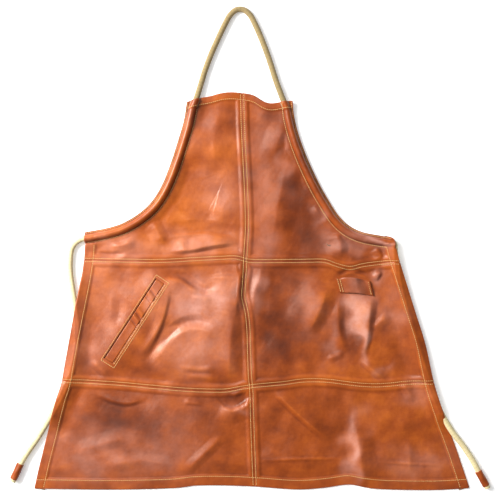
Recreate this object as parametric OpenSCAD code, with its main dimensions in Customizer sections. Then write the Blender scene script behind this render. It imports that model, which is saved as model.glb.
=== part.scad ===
// Leather work apron lying on a table: six leather panels, rope casings along the armholes,
// one rope that makes the neck loop and both ties, a slit pocket and a towel loop.
// Millimetres. X runs across the apron, Y towards the neck and Z up from the table.

/* [Leather] */
// Thickness of one layer of leather
leather_t = 1.6; // [1.2:0.1:1.8]
// Width of the turned hems down the sides and along the bottom
hem_w = 20; // [16:1:24]
// Width of the hem along the top edge of the bib
top_hem_w = 14; // [10:1:15]
// Width of the turned edge on each side of a seam
seam_w = 10; // [6:1:12]

/* [Apron] */
// Height of the leather from the bottom hem to the top of the bib
apron_h = 795; // [790:1:800]
// Width of the skirt along the bottom hem
skirt_w = 872; // [860:2:880]
// Height of the waist seam above the middle of the leather
waist_y = 62; // [56:1:68]
// Height of the skirt seam above the middle of the leather
skirt_y = -184; // [-200:1:-176]

/* [Rope] */
// Diameter of the rope
rope_d = 12; // [10:0.5:12]
// Width of the casing that holds the rope along each armhole
casing_w = 24; // [23:0.5:26]
// Length of the leather sleeve on the end of each tie
sleeve_l = 34; // [28:1:36]

/* [Pocket] */
// Length of the stitched frame round the pocket slit
pocket_l = 204; // [190:1:210]
// Width of the stitched frame round the pocket slit
pocket_w = 31; // [29:1:33]
// Lean of the pocket away from the upright
pocket_tilt = 33; // [28:1:36]
// Width of the open slit
slit_w = 8; // [7:0.5:9]

/* [Towel loop] */
// Length of the strap between its outer ends
strap_l = 68; // [64:1:80]
// Width of the strap
strap_w = 30; // [20:1:36]
// Height of the gap under the strap
strap_gap = 5.6; // [5.2:0.2:8]

/* [Thread] */
// Width of a row of stitches
thread_w = 0.8; // [0.6:0.1:1]
// Height of a row of stitches above the leather
thread_t = 0.3; // [0.2:0.1:0.5]

/* [Hidden] */
$fn = 48;

cognac = [0.66, 0.33, 0.16];
suede = [0.62, 0.42, 0.28];
cotton = [0.75, 0.66, 0.46];
gold_thread = [0.90, 0.74, 0.45];

// Levels: the ropes lie on the table and the leather lies over them.
turned_z = 14;                      // underside of the turned edges, above the ropes
panel_z = turned_z + leather_t;     // underside of the panels
top_z = panel_z + leather_t;        // upper side of the panels
facing_t = 1.4;                     // facing under the rope
rope_r = rope_d / 2;
casing_rope_z = facing_t + 0.2 + rope_r;

// Outline. The bib sits a little left of the skirt, as the apron lies.
top_y = apron_h / 2;
bottom_y = -apron_h / 2;
top_edge = [
    [-130, 378], [-106, 385], [-70, 393], [-42, top_y], [-4, 393.5], [18, 381], [40, 375.5], [82, 380]
];
armhole_left = [
    [-130, 378], [-142, 318], [-160, 262], [-180, 212], [-208, 170], [-250, 140], [-290, 126], [-334, 118]
];
armhole_right = [
    [82, 380], [92, 318], [111, 264], [134, 214], [158, 173], [190, 135], [228, 117], [264, 110]
];
// Side edges as height and distance across.
side_left = [
    [bottom_y, -skirt_w / 2], [-282, -408], [skirt_y, -380], [-42, -354], [waist_y, -336], [95, -333]
];
side_right = [
    [bottom_y, skirt_w / 2], [-282, 398], [skirt_y, 364], [-42, 326], [waist_y, 294], [88, 286]
];
centre_seam = [[bottom_y, 6], [skirt_y, -2], [waist_y, -12], [top_y, -20]];
mouth_y = 94.5;                     // lower side of the left casing's mouth
right_corner = [[264, 110], [276, 109], [284, 103], [286, 94]];

// Casing, measured from the armhole edge into the leather.
rope_in = casing_w / 2;             // centre line of the rope
wall_t = 1.4;
channel_r = rope_r + 1;             // half the width of the hollow
casing_start = 2;                   // curve steps left to the top hem
curve_steps = 4;
rope_steps = 2;

// Routes of the rope, by hand. The free lengths start on their hinge.
neck_route = [
    [-106, 400, casing_rope_z], [-100, 420, 6.4], [-94, 440, 6], [-82, 472, 6], [-66, 508, 6],
    [-53, 535, 6], [-43, 552, 6], [-30, 562, 6], [-15, 561, 6], [-3, 550, 6], [6, 533, 6],
    [15, 513, 6], [25, 488, 6], [36, 457, 6], [47, 422, 6.4], [55, 400, casing_rope_z]
];
tie_left_route = [
    [-341, 104, casing_rope_z], [-352, 97, 6.6], [-360, 84, 6], [-363, 64, 6], [-363, 40, 6],
    [-359, 10, 6], [-353, -30, 6], [-349, -72, 6], [-350, -118, 6], [-360, -162, 6],
    [-378, -204, 6], [-400, -246, 6], [-426, -290, 6], [-448, -322, 6.8], [-461, -344, 8], [-477, -379, 8]
];
tie_right_route = [
    [284, 94, casing_rope_z], [285, 80, 6.6], [287, 60, 6], [290, 30, 6], [297, -4, 6],
    [308, -46, 6], [322, -92, 6], [338, -142, 6], [356, -194, 6], [376, -240, 6],
    [398, -278, 6], [420, -307, 6], [438, -334, 6.8], [451, -358, 8], [470, -392, 8]
];
left_rope_ends = [[-109.5, 388.5, casing_rope_z], [-113, 377, casing_rope_z], [-334.4, 105.5, casing_rope_z]];
right_rope_ends = [[59.2, 388.6, casing_rope_z], [64, 376, casing_rope_z], [278, 95.6, casing_rope_z]];
sleeve_r = 8;
rope_sides = 12;

// Pocket: the frame's middle, and distances across the frame from its middle.
pocket_at = [-233, -60];
slit_left = -pocket_w / 2 + 2.5;
slit_right = slit_left + slit_w;
window_right = pocket_w / 2 - 7.5;
window_l = pocket_l - 24;
welt_right = pocket_w / 2 - 1.5;
welt_l = pocket_l - 12;
bag_outline = [
    [-193, 34], [-140, 37], [-86, 26], [-72, 0], [-72, -130], [-90, -164], [-272, -168], [-304, -138]
];
bag_wall = 1.4;

// Towel loop
strap_at = [206, 10];
strap_tilt = -7;
strap_end = 11;                     // flat, sewn end
strap_ramp = 8;                     // rise from the sewn end to the gap's full height

// Rows of stitches
seam_row = 4;                       // from the seam to each row beside it
hem_row = 18;                       // from a side or bottom edge
row_end = 25;                       // where a row across stops short of a side edge
row_gap = 6;                        // where a row across stops short of the centre seam

// Point at t from b to c, on a smooth curve that passes a, b, c and d in turn.
function curve_point(a, b, c, d, t) =
    (2 * b + (c - a) * t + (2 * a - 5 * b + 4 * c - d) * t * t + (3 * b - a - 3 * c + d) * t * t * t) / 2;
// Smooth curve through the points, in n steps from each to the next.
function smooth(points, n) = let(last = len(points) - 1) concat(
    [for (i = [0 : last - 1], k = [0 : n - 1])
        curve_point(points[max(i - 1, 0)], points[i], points[i + 1], points[min(i + 2, last)], k / n)],
    [points[last]]);
function without_first(list, n) = [for (i = [n : len(list) - 1]) list[i]];
function below(points, y) = [for (p = points) if (p[1] < y) p];
function reversed(list) = [for (i = [len(list) - 1 : -1 : 0]) list[i]];
function heading(path, i) =
    let(step = path[min(i + 1, len(path) - 1)] - path[max(i - 1, 0)]) step / norm(step);
// The path with both ends carried on by w.
function lengthened(path, w) = let(last = len(path) - 1) concat(
    [path[0] - w * heading(path, 0)], path, [path[last] + w * heading(path, last)]);
// The path moved sideways by w, to the right of its direction.
function beside(path, w) = [for (i = [0 : len(path) - 1])
    let(h = heading(path, i)) [path[i][0] + w * h[1], path[i][1] - w * h[0]]];
// Points of an edge given as heights and distances across, between two heights.
function edge_between(table, y0, y1) = concat(
    [[lookup(y0, table), y0]],
    [for (row = table) if (row[0] > y0 + 0.5 && row[0] < y1 - 0.5) [row[1], row[0]]],
    [[lookup(y1, table), y1]]);
function shifted(points, dx) = [for (p = points) [p[0] + dx, p[1]]];
function lowered(points, dy) = [for (p = points) [p[0], p[1] - dy]];
function raised(points, z) = [for (p = points) [p[0], p[1], z]];

armhole_left_curve = smooth(armhole_left, curve_steps);
armhole_right_curve = smooth(armhole_right, curve_steps);
top_curve = smooth(top_edge, curve_steps);
centre_top_x = lookup(top_y, centre_seam);
centre_top = [centre_top_x, 396];
function top_left(gap) = [for (p = top_curve) if (p[0] < centre_top_x - gap) p];
function top_right(gap) = [for (p = top_curve) if (p[0] > centre_top_x + gap) p];

// Flat strip between w0 and w1 beside a path.
module band(path, w0, w1, h) {
    linear_extrude(h) polygon(concat(beside(path, w0), reversed(beside(path, w1))));
}

// Row of stitches beside a path, on leather whose upper side is at z.
module stitch_row(path, w, z) {
    translate([0, 0, z]) band(path, w - thread_w / 2, w + thread_w / 2, thread_t);
}

// Panel with its edges turned under: two layers thick outside the inner outline.
module panel(outline, inner) {
    color(cognac) difference() {
        translate([0, 0, turned_z]) linear_extrude(2 * leather_t) polygon(outline);
        translate([0, 0, turned_z - 1]) linear_extrude(leather_t + 1) polygon(inner);
    }
}

// Panel between two heights, from a side edge to the centre seam; hand is -1 on the left, 1 on the right.
module lower_panel(side, hand, y0, y1, foot_w) {
    panel(
        concat(edge_between(side, y0, y1), reversed(edge_between(centre_seam, y0, y1))),
        concat(
            shifted(edge_between(side, y0 + foot_w, y1 - seam_w), -hand * hem_w),
            shifted(reversed(edge_between(centre_seam, y0 + foot_w, y1 - seam_w)), hand * seam_w)));
}

module bib_panel_left() {
    panel(
        concat(
            [centre_top], reversed(edge_between(centre_seam, waist_y, 380)),
            edge_between(side_left, waist_y, mouth_y),
            reversed(armhole_left_curve), without_first(top_left(1), 1)),
        concat(
            shifted([centre_top - [0, top_hem_w]], -seam_w),
            shifted(reversed(edge_between(centre_seam, waist_y + seam_w, 370)), -seam_w),
            shifted(edge_between(side_left, waist_y + seam_w, mouth_y), hem_w),
            [[-345, mouth_y], [-345, 124]],
            below(
                without_first(reversed(beside(armhole_left_curve, 5)), 1),
                armhole_left[0][1] - top_hem_w),
            lowered(top_left(seam_w + 1), top_hem_w)));
}

module bib_panel_right() {
    panel(
        concat(
            [centre_top], reversed(edge_between(centre_seam, waist_y, 380)),
            edge_between(side_right, waist_y, 88), reversed(right_corner),
            without_first(reversed(armhole_right_curve), 1), without_first(reversed(top_right(1)), 1)),
        concat(
            shifted([centre_top - [0, top_hem_w]], seam_w),
            shifted(reversed(edge_between(centre_seam, waist_y + seam_w, 370)), seam_w),
            [[lookup(waist_y + seam_w, side_right) - hem_w, waist_y + seam_w], [267, 84], [267, 116]],
            below(
                without_first(reversed(beside(armhole_right_curve, -5)), 1),
                armhole_right[0][1] - top_hem_w),
            lowered(reversed(top_right(seam_w + 1)), top_hem_w)));
}

module waist_panel_left() {
    difference() {
        lower_panel(side_left, -1, skirt_y, waist_y, seam_w);
        in_pocket_place(turned_z - 1)
            translate([slit_left, -window_l / 2, 0]) cube([window_right - slit_left, window_l, 10]);
    }
}

module waist_panel_right() {
    lower_panel(side_right, 1, skirt_y, waist_y, seam_w);
}

module skirt_panel_left() {
    lower_panel(side_left, -1, bottom_y, skirt_y, hem_w);
}

module skirt_panel_right() {
    lower_panel(side_right, 1, bottom_y, skirt_y, hem_w);
}

// Strip sewn under the armhole edge along both its sides: it bellies down round the rope.
module armhole_facing(curve, hand) {
    path = without_first(curve, casing_start);
    longer = lengthened(path, 5);
    color(suede) difference() {
        band(path, 0, hand * casing_w, panel_z);
        translate([0, 0, -1])
            band(longer, -hand * 5, hand * (rope_in - channel_r - wall_t), turned_z + 1);
        translate([0, 0, -1])
            band(longer, hand * (rope_in + channel_r + wall_t), hand * (casing_w + 5), turned_z + 1);
        translate([0, 0, facing_t])
            band(longer, hand * (rope_in - channel_r), hand * (rope_in + channel_r), panel_z);
    }
}

module armhole_facing_left() {
    armhole_facing(armhole_left_curve, -1);
}

module armhole_facing_right() {
    armhole_facing(armhole_right_curve, 1);
}

module in_pocket_place(z) {
    translate([pocket_at[0], pocket_at[1], z]) rotate([0, 0, -pocket_tilt]) children();
}

// Strip behind the pocket window: its left edge is one lip of the slit.
module pocket_welt() {
    color(cognac) in_pocket_place(turned_z)
        translate([slit_right, -welt_l / 2, 0]) cube([welt_right - slit_right, welt_l, leather_t]);
}

// Shallow bag under the panel, open upwards.
module pocket_bag() {
    color(suede) difference() {
        linear_extrude(panel_z) polygon(bag_outline);
        translate([0, 0, bag_wall]) linear_extrude(panel_z) offset_in(bag_outline, bag_wall);
    }
}

// Convex outline moved inwards by w: each edge is shifted and met with the next.
module offset_in(outline, w) {
    n = len(outline);
    polygon([for (i = [0 : n - 1])
        let(
            a = outline[(i + n - 1) % n], b = outline[i], c = outline[(i + 1) % n],
            u = (b - a) / norm(b - a), v = (c - b) / norm(c - b),
            inward = [u[1] + v[1], -u[0] - v[0]],
            reach = w / (1 + u * v))
        b + inward * reach]);
}

// Strap sewn flat at both ends and raised between them.
module towel_loop() {
    half = strap_l / 2;
    rise = strap_gap + leather_t;
    under = [
        [-half, 0], [strap_end - half, 0], [strap_end + strap_ramp - half, strap_gap],
        [half - strap_end - strap_ramp, strap_gap], [half - strap_end, 0], [half, 0]
    ];
    over = [
        [half, leather_t], [half - strap_end + 1, leather_t], [half - strap_end - strap_ramp + 1, rise],
        [strap_end + strap_ramp - 1 - half, rise], [strap_end - 1 - half, leather_t], [-half, leather_t]
    ];
    color(cognac) in_strap_place(top_z)
        rotate([90, 0, 0]) linear_extrude(strap_w, center = true) polygon(concat(under, over));
}

module in_strap_place(z) {
    translate([strap_at[0], strap_at[1], z]) rotate([0, 0, strap_tilt]) children();
}

// Station on the round end of a rope, at angle a from its tip: centre, route point and share of the radius.
function cap_station(route, i, a, way) = [route[i] + way * heading(route, i) * rope_r * cos(a), i, sin(a)];

// Rope swept along a route. A round end is centred on the route's first or last point.
module rope(route, round_start, round_end) {
    last = len(route) - 1;
    cap = [30, 60];
    stations = concat(
        round_start ? [for (a = cap) cap_station(route, 0, a, -1)] : [],
        [for (i = [0 : last]) [route[i], i, 1]],
        round_end ? [for (a = reversed(cap)) cap_station(route, last, a, 1)] : []);
    rings = len(stations);
    points = [for (s = stations)
        let(
            h = heading(route, s[1]), flat = cross(h, [0, 0, 1]),
            across = flat / norm(flat), up = cross(across, h))
        for (k = [0 : rope_sides - 1])
            s[0] + rope_r * s[2] * (cos(360 * k / rope_sides) * across + sin(360 * k / rope_sides) * up)];
    sides = [for (i = [0 : rings - 2], k = [0 : rope_sides - 1])
        let(a = i * rope_sides + k, b = i * rope_sides + (k + 1) % rope_sides)
        each [[a, b, b + rope_sides], [a, b + rope_sides, a + rope_sides]]];
    ends = [
        [for (k = [rope_sides - 1 : -1 : 0]) k],
        [for (k = [0 : rope_sides - 1]) (rings - 1) * rope_sides + k]
    ];
    color(cotton) polyhedron(points, concat(sides, ends));
}

// Rope through a casing, from outside the top edge to the mouth at the waist.
module casing_rope(curve, hand, ends) {
    path = without_first(curve, casing_start);
    middle = [for (i = [0 : rope_steps : len(path) - 3]) beside(path, hand * rope_in)[i]];
    rope(concat([ends[0], ends[1]], raised(middle, casing_rope_z), [ends[2]]), false, false);
}

module rope_neck_loop() {
    rope(neck_route, true, true);
}

module rope_in_left_casing() {
    casing_rope(armhole_left_curve, -1, left_rope_ends);
}

module rope_in_right_casing() {
    casing_rope(armhole_right_curve, 1, right_rope_ends);
}

module rope_tie_left() {
    rope(tie_left_route, true, false);
}

module rope_tie_right() {
    rope(tie_right_route, true, false);
}

// Leather sleeve on the straight last stretch of a tie.
module tie_tip_sleeve(route) {
    last = len(route) - 1;
    along = route[last] - route[last - 1];
    color(cognac) translate(route[last - 1]) rotate([0, 90, atan2(along[1], along[0])]) difference() {
        cylinder(h = sleeve_l, r = sleeve_r);
        translate([0, 0, -1]) cylinder(h = sleeve_l + 2, r = rope_r + 0.1);
    }
}

module tie_tip_sleeve_left() {
    tie_tip_sleeve(tie_left_route);
}

module tie_tip_sleeve_right() {
    tie_tip_sleeve(tie_right_route);
}

// Two rows, one on each side of a seam.
module seam_rows(path) {
    for (w = [-seam_row, seam_row]) stitch_row(path, w, top_z);
}

// Points of a row across the apron at height y, left or right of the centre seam.
function row_left(y) = [[lookup(y, side_left) + row_end, y], [lookup(y, centre_seam) - row_gap, y]];
function row_right(y) = [[lookup(y, centre_seam) + row_gap, y], [lookup(y, side_right) - row_end, y]];

module thread_centre_seam() {
    color(gold_thread)
        seam_rows([for (row = centre_seam) [row[1], min(max(row[0], bottom_y + 3), top_y - 5)]]);
}

module cross_seam_thread(y) {
    color(gold_thread) for (row = [row_left(y), row_right(y)]) seam_rows(row);
}

module thread_waist_seam() {
    cross_seam_thread(waist_y);
}

module thread_skirt_seam() {
    cross_seam_thread(skirt_y);
}

module thread_top_hem() {
    left = without_first(top_left(row_gap), 1);
    right = without_first(reversed(top_right(row_gap)), 1);
    color(gold_thread) {
        stitch_row(left, top_hem_w - 2, top_z);
        stitch_row(right, 2 - top_hem_w, top_z);
    }
}

module thread_side_hem_left() {
    color(gold_thread) stitch_row(edge_between(side_left, bottom_y + 3, mouth_y - 3), hem_row, top_z);
}

module thread_side_hem_right() {
    color(gold_thread) stitch_row(edge_between(side_right, bottom_y + 3, 80), -hem_row, top_z);
}

module thread_bottom_hem() {
    color(gold_thread) for (row = [row_left(bottom_y), row_right(bottom_y)]) stitch_row(row, -hem_row, top_z);
}

module armhole_thread(curve, hand) {
    path = without_first(curve, casing_start);
    color(gold_thread) for (w = [2.5, casing_w - 2]) stitch_row(path, hand * w, top_z);
}

module thread_armhole_left() {
    armhole_thread(armhole_left_curve, -1);
}

module thread_armhole_right() {
    armhole_thread(armhole_right_curve, 1);
}

// Frame of stitches round the pocket, with a second row beside the welt.
module thread_pocket() {
    color(gold_thread) in_pocket_place(top_z) union() {
        difference() {
            translate([-pocket_w / 2, -pocket_l / 2, 0]) cube([pocket_w, pocket_l, thread_t]);
            translate([thread_w - pocket_w / 2, thread_w - pocket_l / 2, -1])
                cube([pocket_w - 2 * thread_w, pocket_l - 2 * thread_w, 2]);
        }
        translate([pocket_w / 2 - 4, -window_l / 2, 0]) cube([thread_w, window_l, thread_t]);
    }
}

// Two rows on the strap's left end and one on its right.
module thread_towel_loop() {
    color(gold_thread) in_strap_place(top_z + leather_t)
        for (x = [3 - strap_l / 2, 8 - strap_l / 2, strap_l / 2 - 4])
            translate([x, 0, thread_t / 2]) cube([thread_w, strap_w - 3, thread_t], center = true);
}

bib_panel_left();
bib_panel_right();
waist_panel_left();
waist_panel_right();
skirt_panel_left();
skirt_panel_right();
armhole_facing_left();
armhole_facing_right();
pocket_welt();
pocket_bag();
towel_loop();
rope_neck_loop();
rope_in_left_casing();
rope_in_right_casing();
rope_tie_left();
rope_tie_right();
tie_tip_sleeve_left();
tie_tip_sleeve_right();
thread_centre_seam();
thread_waist_seam();
thread_skirt_seam();
thread_top_hem();
thread_side_hem_left();
thread_side_hem_right();
thread_bottom_hem();
thread_armhole_left();
thread_armhole_right();
thread_pocket();
thread_towel_loop();
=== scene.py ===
"""Looks of the leather work apron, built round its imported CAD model: rope, leather panels, casings,
pocket, towel loop, stitches, and the table, camera and light. Metres, with small sizes given in
millimetres and scaled by MM where they are used."""

import bmesh
import bpy
import numpy as np
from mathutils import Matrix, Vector


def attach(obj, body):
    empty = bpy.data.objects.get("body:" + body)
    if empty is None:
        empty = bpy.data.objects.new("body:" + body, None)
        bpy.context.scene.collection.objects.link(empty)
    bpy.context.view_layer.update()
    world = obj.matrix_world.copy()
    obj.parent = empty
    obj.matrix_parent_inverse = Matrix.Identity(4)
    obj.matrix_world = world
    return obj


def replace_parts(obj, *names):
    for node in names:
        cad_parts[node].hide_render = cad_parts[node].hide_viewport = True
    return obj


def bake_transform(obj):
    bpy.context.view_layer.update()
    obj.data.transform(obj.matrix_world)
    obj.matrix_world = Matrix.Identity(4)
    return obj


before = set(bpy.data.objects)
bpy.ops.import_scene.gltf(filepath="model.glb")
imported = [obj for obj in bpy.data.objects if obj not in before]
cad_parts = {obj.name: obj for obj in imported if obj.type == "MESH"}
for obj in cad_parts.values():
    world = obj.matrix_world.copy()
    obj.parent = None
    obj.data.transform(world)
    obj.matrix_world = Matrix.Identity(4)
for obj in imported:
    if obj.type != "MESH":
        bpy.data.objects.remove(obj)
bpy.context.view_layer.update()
MM = 0.001

# ---------------------------------------------------------------- camera
# The apron lies flat and is seen from straight above, in a square view one metre wide.
# The view's middle is a little above the waist, so that the neck loop and the hem both fit.
VIEW_WIDTH = 1.0
LENS, SENSOR = 85.0, 36.0
camera_data = bpy.data.cameras.new("camera")
camera_data.lens, camera_data.sensor_width = LENS, SENSOR
camera = bpy.data.objects.new("camera", camera_data)
camera.location = (-0.004, 0.0825, VIEW_WIDTH * LENS / SENSOR)
bpy.context.scene.collection.objects.link(camera)
bpy.context.scene.camera = camera

# ---------------------------------------------------------------- rope
# One braided cotton rope, 12 mm thick: the neck loop, two stretches in the casings and two ties.
# It is plaited from strands that cross, so its surface is a lattice of small bumps.
ROPE_R = 6.0
NECK_ROUTE = [
    (-118, 366, 7.6), (-111.5, 383, 7.6), (-106, 400, 7.6), (-100, 420, 6.4), (-94, 440, 6),
    (-82, 472, 6), (-66, 508, 6), (-53, 535, 6), (-43, 552, 6), (-30, 562, 6), (-15, 561, 6),
    (-3, 550, 6), (6, 533, 6), (15, 513, 6), (25, 488, 6), (36, 457, 6), (47, 422, 6.4),
    (55, 400, 7.6), (61.5, 383, 7.6), (69, 365, 7.6),
]
TIE_LEFT_ROUTE = [
    (-322, 107, 7.6), (-334, 105.5, 7.6), (-341, 104, 7.6), (-352, 97, 6.6), (-360, 84, 6),
    (-363, 64, 6), (-363, 40, 6), (-359, 10, 6), (-353, -30, 6), (-349, -72, 6), (-350, -118, 6),
    (-360, -162, 6), (-378, -204, 6), (-400, -246, 6), (-426, -290, 6), (-448, -322, 6.8),
    (-461, -344, 8), (-477, -379, 8),
]
TIE_RIGHT_ROUTE = [
    (268, 97.5, 7.6), (277, 96.5, 7.6), (284, 94, 7.6), (285, 80, 6.6), (287, 60, 6),
    (290, 30, 6), (297, -4, 6), (308, -46, 6), (322, -92, 6), (338, -142, 6), (356, -194, 6),
    (376, -240, 6), (398, -278, 6), (420, -307, 6), (438, -334, 6.8), (451, -358, 8),
    (470, -392, 8),
]
ARMHOLE_LEFT = [
    (-130, 378), (-136, 341), (-146, 306), (-160, 262), (-178, 216), (-198, 182), (-222, 158),
    (-256, 137), (-290, 126), (-334, 118),
]
ARMHOLE_RIGHT = [
    (81, 380), (84, 350), (94, 310), (112, 262), (134, 215), (152, 183), (172, 152),
    (194, 131), (222, 118), (264, 110),
]
# The rope in a casing: how far its middle is from the armhole's edge, and how high it lies.
CASING_MIDDLE, CASING_HEIGHT = 12.0, 7.6


def smooth_line(points, step=2.0):
    """Catmull-Rom curve through the points, resampled at equal steps of arc length."""
    p = np.array(points, float)
    q = np.vstack([2 * p[0] - p[1], p, 2 * p[-1] - p[-2]])
    t = np.linspace(0, 1, 24, endpoint=False)[:, None, None]
    a, b, c, d = q[:-3], q[1:-2], q[2:-1], q[3:]
    curve = (2 * b + (c - a) * t + (2 * a - 5 * b + 4 * c - d) * t**2 + (3 * b - a - 3 * c + d) * t**3) / 2
    curve = np.vstack([curve.transpose(1, 0, 2).reshape(-1, p.shape[1]), p[-1]])
    along = np.concatenate([[0], np.cumsum(np.linalg.norm(np.diff(curve, axis=0), axis=1))])
    at = np.linspace(0, along[-1], max(2, int(round(along[-1] / step)) + 1))
    return np.stack([np.interp(at, along, curve[:, k]) for k in range(p.shape[1])], axis=1)


def headings(line):
    """Unit tangent at each point of a line, by central differences."""
    step = np.gradient(line, axis=0)
    return step / np.linalg.norm(step, axis=1, keepdims=True)


def beside(line, distance):
    """The plan line moved sideways, to the right of its direction."""
    h = headings(line[:, :2])
    return line[:, :2] + distance * np.stack([h[:, 1], -h[:, 0]], axis=1)


def grid_faces(rows, columns, closed=False):
    """Quads of a grid of points; closed joins the last column to the first."""
    i, j = np.meshgrid(np.arange(rows - 1), np.arange(columns - (not closed)), indexing="ij")
    k = (j + 1) % columns
    here, next_row = i * columns, (i + 1) * columns
    return np.stack([here + j, here + k, next_row + k, next_row + j], axis=-1).reshape(-1, 4)


def new_piece(name, points, faces, **attributes):
    """Mesh object from points in millimetres and faces, with one float attribute per keyword."""
    mesh = bpy.data.meshes.new(name)
    mesh.from_pydata((points * MM).tolist(), [], [list(f) for f in faces])
    mesh.polygons.foreach_set("use_smooth", np.full(len(mesh.polygons), True))
    for key, values in attributes.items():
        mesh.attributes.new(key, "FLOAT", "POINT").data.foreach_set("value", values.astype(np.float32))
    mesh.update()
    piece = bpy.data.objects.new(name, mesh)
    bpy.context.scene.collection.objects.link(piece)
    return piece


def tube(line, radius):
    """Rings of points round a line; radius is an array of rings by points round the ring."""
    rings, around = radius.shape
    h = headings(line)
    across = np.cross(h, [0, 0, 1.0])
    across /= np.linalg.norm(across, axis=1, keepdims=True)
    up = np.cross(across, h)
    a = np.linspace(0, 2 * np.pi, around, endpoint=False)
    out = np.cos(a)[None, :, None] * across[:, None] + np.sin(a)[None, :, None] * up[:, None]
    points = (line[:, None] + radius[..., None] * out).reshape(-1, 3)
    ends = [list(range(around)), list(range((rings - 1) * around, rings * around))[::-1]]
    return points, [*grid_faces(rings, around, closed=True)[:, ::-1].tolist(), *ends]


def braided_rope(name, route, worn):
    """Tube whose radius is R - depth * (1 - |cos p cos q|), where p and q run along the two
    directions of the strands, 45 degrees to the rope on each side. worn darkens the cotton."""
    strands, around, depth = 8, 48, 0.75
    step = 1.0
    line = smooth_line(route, step)
    s = np.arange(len(line))[:, None] * step
    a = np.linspace(0, 2 * np.pi, around, endpoint=False)[None]
    p = strands / 2 * a + strands / 2 / ROPE_R * s
    q = strands / 2 * a - strands / 2 / ROPE_R * s
    plait = np.abs(np.cos(p) * np.cos(q))
    plait = np.maximum(plait, np.abs(np.sin(p) * np.sin(q)))
    radius = ROPE_R - depth * (1 - plait)
    points, faces = tube(line, radius)
    rope = new_piece(name, points, faces, plait=plait.ravel(), worn=np.full(plait.size, worn))
    rope.data.materials.append(cotton)
    return rope, line * MM


def material(name, roughness, **inputs):
    """A Principled material, its node tree and its shader; inputs are set on the shader's sockets."""
    made = bpy.data.materials.new(name)
    made.use_nodes = True
    shader = made.node_tree.nodes["Principled BSDF"]
    shader.inputs["Roughness"].default_value = roughness
    for key, value in inputs.items():
        shader.inputs[key.replace("_", " ")].default_value = value
    return made, made.node_tree, shader


def node(tree, kind, **settings):
    """A node with its properties, or its sockets by name, set."""
    made = tree.nodes.new(kind)
    for key, value in settings.items():
        if hasattr(made, key):
            setattr(made, key, value)
        else:
            made.inputs[key.replace("_", " ")].default_value = value
    return made


def noise(tree, scale, detail=4.0, rough=0.55, stretch=(1, 1, 1)):
    """Noise on Object coordinates, scale in cells per metre, finer along the stretched axes."""
    place = node(tree, "ShaderNodeTexCoord").outputs["Object"]
    turned = node(tree, "ShaderNodeMapping")
    turned.inputs["Scale"].default_value = stretch
    made = node(tree, "ShaderNodeTexNoise", Scale=scale, Detail=detail, Roughness=rough)
    tree.links.new(place, turned.inputs["Vector"])
    tree.links.new(turned.outputs["Vector"], made.inputs["Vector"])
    return made.outputs["Fac"]


def ramp(tree, source, stops):
    """Colour ramp of (position, colour) stops; a colour is linear red, green and blue."""
    made = node(tree, "ShaderNodeValToRGB")
    elements = made.color_ramp.elements
    while len(elements) < len(stops):
        elements.new(0.5)
    for element, (position, colour) in zip(elements, stops):
        element.position, element.color = position, (*colour, 1)
    tree.links.new(source, made.inputs["Fac"])
    return made.outputs["Color"]


def mixed(tree, kind, factor, a, b):
    """Mix of two colours; factor, a and b are sockets or values."""
    made = node(tree, "ShaderNodeMix", data_type="RGBA", blend_type=kind)
    for socket, value in ((0, factor), (6, a), (7, b)):
        if isinstance(value, bpy.types.NodeSocket):
            tree.links.new(value, made.inputs[socket])
        else:
            made.inputs[socket].default_value = value
    return made.outputs[2]


def math_node(tree, kind, a, b=0.0):
    """Maths on two sockets or numbers."""
    made = node(tree, "ShaderNodeMath", operation=kind)
    for socket, value in ((0, a), (1, b)):
        if isinstance(value, bpy.types.NodeSocket):
            tree.links.new(value, made.inputs[socket])
        else:
            made.inputs[socket].default_value = value
    return made.outputs[0]


def bumped(tree, shader, height, distance):
    """Bump of that many metres from a height socket, on the shader's normal."""
    made = node(tree, "ShaderNodeBump", Distance=distance, Strength=1.0)
    tree.links.new(height, made.inputs["Height"])
    tree.links.new(made.outputs["Normal"], shader.inputs["Normal"])


def attribute(tree, name):
    """Socket that reads a float attribute of the mesh."""
    return node(tree, "ShaderNodeAttribute", attribute_name=name).outputs["Fac"]


cotton, tree, shader = material("undyed cotton braid", 0.85, Sheen_Weight=0.25, Sheen_Roughness=0.5)
# Colours of the clean ties, and of the loop, browned by use; each is darker between the strands than on top
# of them, which is painted shade.
clean = ramp(tree, attribute(tree, "plait"), [(0.3, (0.60, 0.48, 0.22)), (0.75, (0.93, 0.80, 0.46))])
used = ramp(tree, attribute(tree, "plait"), [(0.3, (0.15, 0.105, 0.04)), (0.75, (0.40, 0.29, 0.125))])
colour = mixed(tree, "MIX", attribute(tree, "worn"), clean, used)
smudges = ramp(tree, noise(tree, 90), [(0.3, (0.7, 0.68, 0.62)), (0.7, (1, 1, 1))])
colour = mixed(tree, "MULTIPLY", 0.5, colour, smudges)
tree.links.new(colour, shader.inputs["Base Color"])
bumped(tree, shader, noise(tree, 1500, 2), 0.0003)

neck_rope, neck_path = braided_rope("neck_loop_rope", NECK_ROUTE, 1.0)
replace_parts(neck_rope, "rope_neck_loop")
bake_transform(neck_rope)

tie_left, tie_left_path = braided_rope("tie_rope_left", TIE_LEFT_ROUTE, 0.0)
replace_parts(tie_left, "rope_tie_left")
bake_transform(tie_left)
tie_right, tie_right_path = braided_rope("tie_rope_right", TIE_RIGHT_ROUTE, 0.15)
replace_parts(tie_right, "rope_tie_right")
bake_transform(tie_right)

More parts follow.
